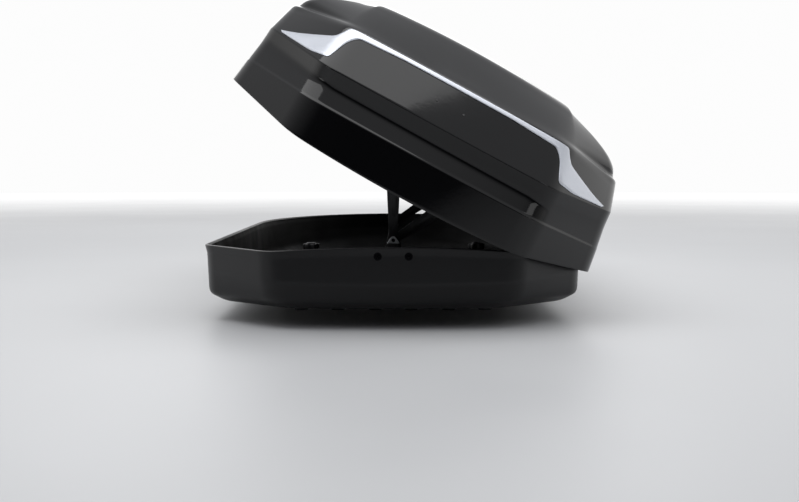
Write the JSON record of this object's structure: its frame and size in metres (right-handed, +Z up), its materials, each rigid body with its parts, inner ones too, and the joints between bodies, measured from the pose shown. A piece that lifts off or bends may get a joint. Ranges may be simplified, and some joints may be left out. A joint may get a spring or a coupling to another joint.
{
  "type": "roof cargo box",
  "caption": "Hard roof box with a moulded tray and a lid that opens from either side on latching hinge pins, held up by folding lid lifters, with roof-bar clamps.",
  "frame": {"origin": "middle of the flat underside of the tray, on the box's lengthwise centre plane", "axes": "+Y towards the nose, along the box; +Z up; +X to the right of somebody standing behind it"},
  "size_m": [0.9685, 2.15, 0.7395],
  "materials": {
    "lid_abs": "high gloss black acrylic-capped ABS",
    "tray_abs": "satin black grained ABS",
    "silver_trim": "silver painted trim",
    "moulded_black": "fine textured glass-filled nylon",
    "black_steel": "black powder coat",
    "zinc_steel": "bright zinc plate",
    "acetal_bush": "natural acetal"
  },
  "bodies": {
    "tray": {"tray_shell": "tray_abs", "hinge_pin_left_rear": "black_steel", "hinge_pin_left_middle": "black_steel", "hinge_pin_left_front": "black_steel", "hinge_pin_right_rear": "black_steel", "hinge_pin_right_middle": "black_steel", "hinge_pin_right_front": "black_steel", "lifter_base_rear": "moulded_black", "lifter_base_front": "moulded_black", "lifter_lug_rear": "zinc_steel", "lifter_lug_front": "zinc_steel", "lifter_bolt_rear": "zinc_steel", "lifter_bolt_front": "zinc_steel", "rear_screw_left": "black_steel", "rear_screw_right": "black_steel", "clamp_body_rear_left": "moulded_black", "clamp_body_rear_right": "moulded_black", "clamp_body_front_left": "moulded_black", "clamp_body_front_right": "moulded_black"},
    "left_bushes": {"hinge_bush_left_rear": "acetal_bush", "hinge_bush_left_middle": "acetal_bush", "hinge_bush_left_front": "acetal_bush"},
    "lid": {"lid_shell": "lid_abs", "trim_band": "silver_trim", "hinge_bush_right_rear": "acetal_bush", "hinge_bush_right_middle": "acetal_bush", "hinge_bush_right_front": "acetal_bush", "hinge_rail_left": "zinc_steel", "hinge_rail_right": "zinc_steel", "cross_rail_rear": "black_steel", "cross_rail_front": "black_steel"},
    "claws_left": {"latch_claw_left_rear": "zinc_steel", "latch_claw_left_middle": "zinc_steel", "latch_claw_left_front": "zinc_steel"},
    "lock_bar_left": {"lock_bar_left": "zinc_steel"},
    "lock_handle_left": {"lock_handle_left": "moulded_black"},
    "key_cylinder_left": {"key_cylinder_left": "zinc_steel"},
    "claws_right": {"latch_claw_right_rear": "zinc_steel", "latch_claw_right_middle": "zinc_steel", "latch_claw_right_front": "zinc_steel"},
    "lock_bar_right": {"lock_bar_right": "zinc_steel"},
    "lock_handle_right": {"lock_handle_right": "moulded_black"},
    "key_cylinder_right": {"key_cylinder_right": "zinc_steel"},
    "arm_bushes_a": {"lifter_bush_a_rear": "acetal_bush", "lifter_bush_a_front": "acetal_bush"},
    "arms_a": {"lifter_arm_a_rear": "black_steel", "lifter_arm_a_front": "black_steel"},
    "arm_bushes_b": {"lifter_bush_b_rear": "acetal_bush", "lifter_bush_b_front": "acetal_bush"},
    "arms_b": {"lifter_arm_b_rear": "black_steel", "lifter_arm_b_front": "black_steel"},
    "clamp_jaw_rear_left": {"clamp_jaw_rear_left": "black_steel"},
    "clamp_knob_rear_left": {"clamp_knob_rear_left": "moulded_black"},
    "clamp_jaw_rear_right": {"clamp_jaw_rear_right": "black_steel"},
    "clamp_knob_rear_right": {"clamp_knob_rear_right": "moulded_black"},
    "clamp_jaw_front_left": {"clamp_jaw_front_left": "black_steel"},
    "clamp_knob_front_left": {"clamp_knob_front_left": "moulded_black"},
    "clamp_jaw_front_right": {"clamp_jaw_front_right": "black_steel"},
    "clamp_knob_front_right": {"clamp_knob_front_right": "moulded_black"}
  },
  "joints": [
    {"name": "lid_right_hinge", "type": "hinge", "parent": "tray", "child": "left_bushes", "pos_m": [0.442, 0, 0.098], "axis": [0, 1, 0], "range_deg": [-28.5, 0]},
    {"name": "lid_left_hinge", "type": "hinge", "parent": "left_bushes", "child": "lid", "pos_m": [-0.33487, 0, 0.51981], "axis": [0, -1, 0], "range_deg": [0, 28.5]},
    {"name": "lock_handle_left_turn", "type": "hinge", "parent": "lid", "child": "lock_handle_left", "pos_m": [-0.31243, -0.215, 0.57476], "axis": [-0.7986, 0, 0.6018], "range_deg": [0, 90]},
    {"name": "claws_left_turn", "type": "hinge", "parent": "lid", "child": "claws_left", "pos_m": [-0.33487, 0, 0.51981], "axis": [0, 1, 0], "range_deg": [0, 180.1]},
    {"name": "lock_bar_left_slide", "type": "slide", "parent": "lid", "child": "lock_bar_left", "axis": [0, 1, 0], "range_m": [0, 0.0201]},
    {"name": "key_cylinder_left_turn", "type": "hinge", "parent": "lock_handle_left", "child": "key_cylinder_left", "pos_m": [-0.31243, -0.215, 0.57476], "axis": [-0.7986, 0, 0.6018], "range_deg": [0, 90]},
    {"name": "lock_handle_right_turn", "type": "hinge", "parent": "lid", "child": "lock_handle_right", "pos_m": [0.47586, -0.215, 0.14675], "axis": [0.9397, 0, -0.342], "range_deg": [0, 90]},
    {"name": "claws_right_turn", "type": "hinge", "parent": "lid", "child": "claws_right", "pos_m": [0.442, 0, 0.098], "axis": [0, 1, 0], "range_deg": [0, 180.1]},
    {"name": "lock_bar_right_slide", "type": "slide", "parent": "lid", "child": "lock_bar_right", "axis": [0, 1, 0], "range_m": [0, 0.0201]},
    {"name": "key_cylinder_right_turn", "type": "hinge", "parent": "lock_handle_right", "child": "key_cylinder_right", "pos_m": [0.47586, -0.215, 0.14675], "axis": [0.9397, 0, -0.342], "range_deg": [0, 90]},
    {"name": "arms_a_by_right_hinge", "type": "hinge", "parent": "tray", "child": "arm_bushes_a", "pos_m": [0, 0, 0.135], "axis": [0, 1, 0], "range_deg": [-70.31, 0.1]},
    {"name": "arms_a_by_left_hinge", "type": "hinge", "parent": "arm_bushes_a", "child": "arms_a", "pos_m": [0, 0, 0.135], "axis": [0, 1, 0], "range_deg": [-0.1, 13.31]},
    {"name": "arms_b_by_right_hinge", "type": "hinge", "parent": "tray", "child": "arm_bushes_b", "pos_m": [0, 0, 0.135], "axis": [0, 1, 0], "range_deg": [-0.1, 13.31]},
    {"name": "arms_b_by_left_hinge", "type": "hinge", "parent": "arm_bushes_b", "child": "arms_b", "pos_m": [0, 0, 0.135], "axis": [0, 1, 0], "range_deg": [-70.31, 0.1]},
    {"name": "clamp_knob_rear_left_turn", "type": "hinge", "parent": "tray", "child": "clamp_knob_rear_left", "pos_m": [-0.27, -0.38, 0.05], "axis": [0, 0, 1], "range_deg": [0, 540]},
    {"name": "clamp_jaw_rear_left_slide", "type": "slide", "parent": "tray", "child": "clamp_jaw_rear_left", "axis": [0, 1, 0], "range_m": [0, 0.01205]},
    {"name": "clamp_knob_rear_right_turn", "type": "hinge", "parent": "tray", "child": "clamp_knob_rear_right", "pos_m": [0.27, -0.38, 0.05], "axis": [0, 0, 1], "range_deg": [0, 540]},
    {"name": "clamp_jaw_rear_right_slide", "type": "slide", "parent": "tray", "child": "clamp_jaw_rear_right", "axis": [0, 1, 0], "range_m": [0, 0.01205]},
    {"name": "clamp_knob_front_left_turn", "type": "hinge", "parent": "tray", "child": "clamp_knob_front_left", "pos_m": [-0.27, 0.38, 0.05], "axis": [0, 0, 1], "range_deg": [0, 540]},
    {"name": "clamp_jaw_front_left_slide", "type": "slide", "parent": "tray", "child": "clamp_jaw_front_left", "axis": [0, 1, 0], "range_m": [0, 0.01205]},
    {"name": "clamp_knob_front_right_turn", "type": "hinge", "parent": "tray", "child": "clamp_knob_front_right", "pos_m": [0.27, 0.38, 0.05], "axis": [0, 0, 1], "range_deg": [0, 540]},
    {"name": "clamp_jaw_front_right_slide", "type": "slide", "parent": "tray", "child": "clamp_jaw_front_right", "axis": [0, 1, 0], "range_m": [0, 0.01205]}
  ],
  "couplings": [
    {"joint": "claws_left_turn", "follows": "lock_handle_left_turn", "ratio": 2},
    {"joint": "lock_bar_left_slide", "follows": "lock_handle_left_turn", "m_per_rad": 0.012732},
    {"joint": "claws_right_turn", "follows": "lock_handle_right_turn", "ratio": 2},
    {"joint": "lock_bar_right_slide", "follows": "lock_handle_right_turn", "m_per_rad": 0.012732},
    {"joint": "arms_a_by_right_hinge", "follows": "lid_right_hinge", "ratio": 2.4635},
    {"joint": "arms_a_by_left_hinge", "follows": "lid_left_hinge", "ratio": 0.46346},
    {"joint": "arms_b_by_right_hinge", "follows": "lid_right_hinge", "ratio": -0.46346},
    {"joint": "arms_b_by_left_hinge", "follows": "lid_left_hinge", "ratio": -2.4635},
    {"joint": "clamp_jaw_rear_left_slide", "follows": "clamp_knob_rear_left_turn", "m_per_rad": 0.001273},
    {"joint": "clamp_jaw_rear_right_slide", "follows": "clamp_knob_rear_right_turn", "m_per_rad": 0.001273},
    {"joint": "clamp_jaw_front_left_slide", "follows": "clamp_knob_front_left_turn", "m_per_rad": 0.001273},
    {"joint": "clamp_jaw_front_right_slide", "follows": "clamp_knob_front_right_turn", "m_per_rad": 0.001273}
  ]
}
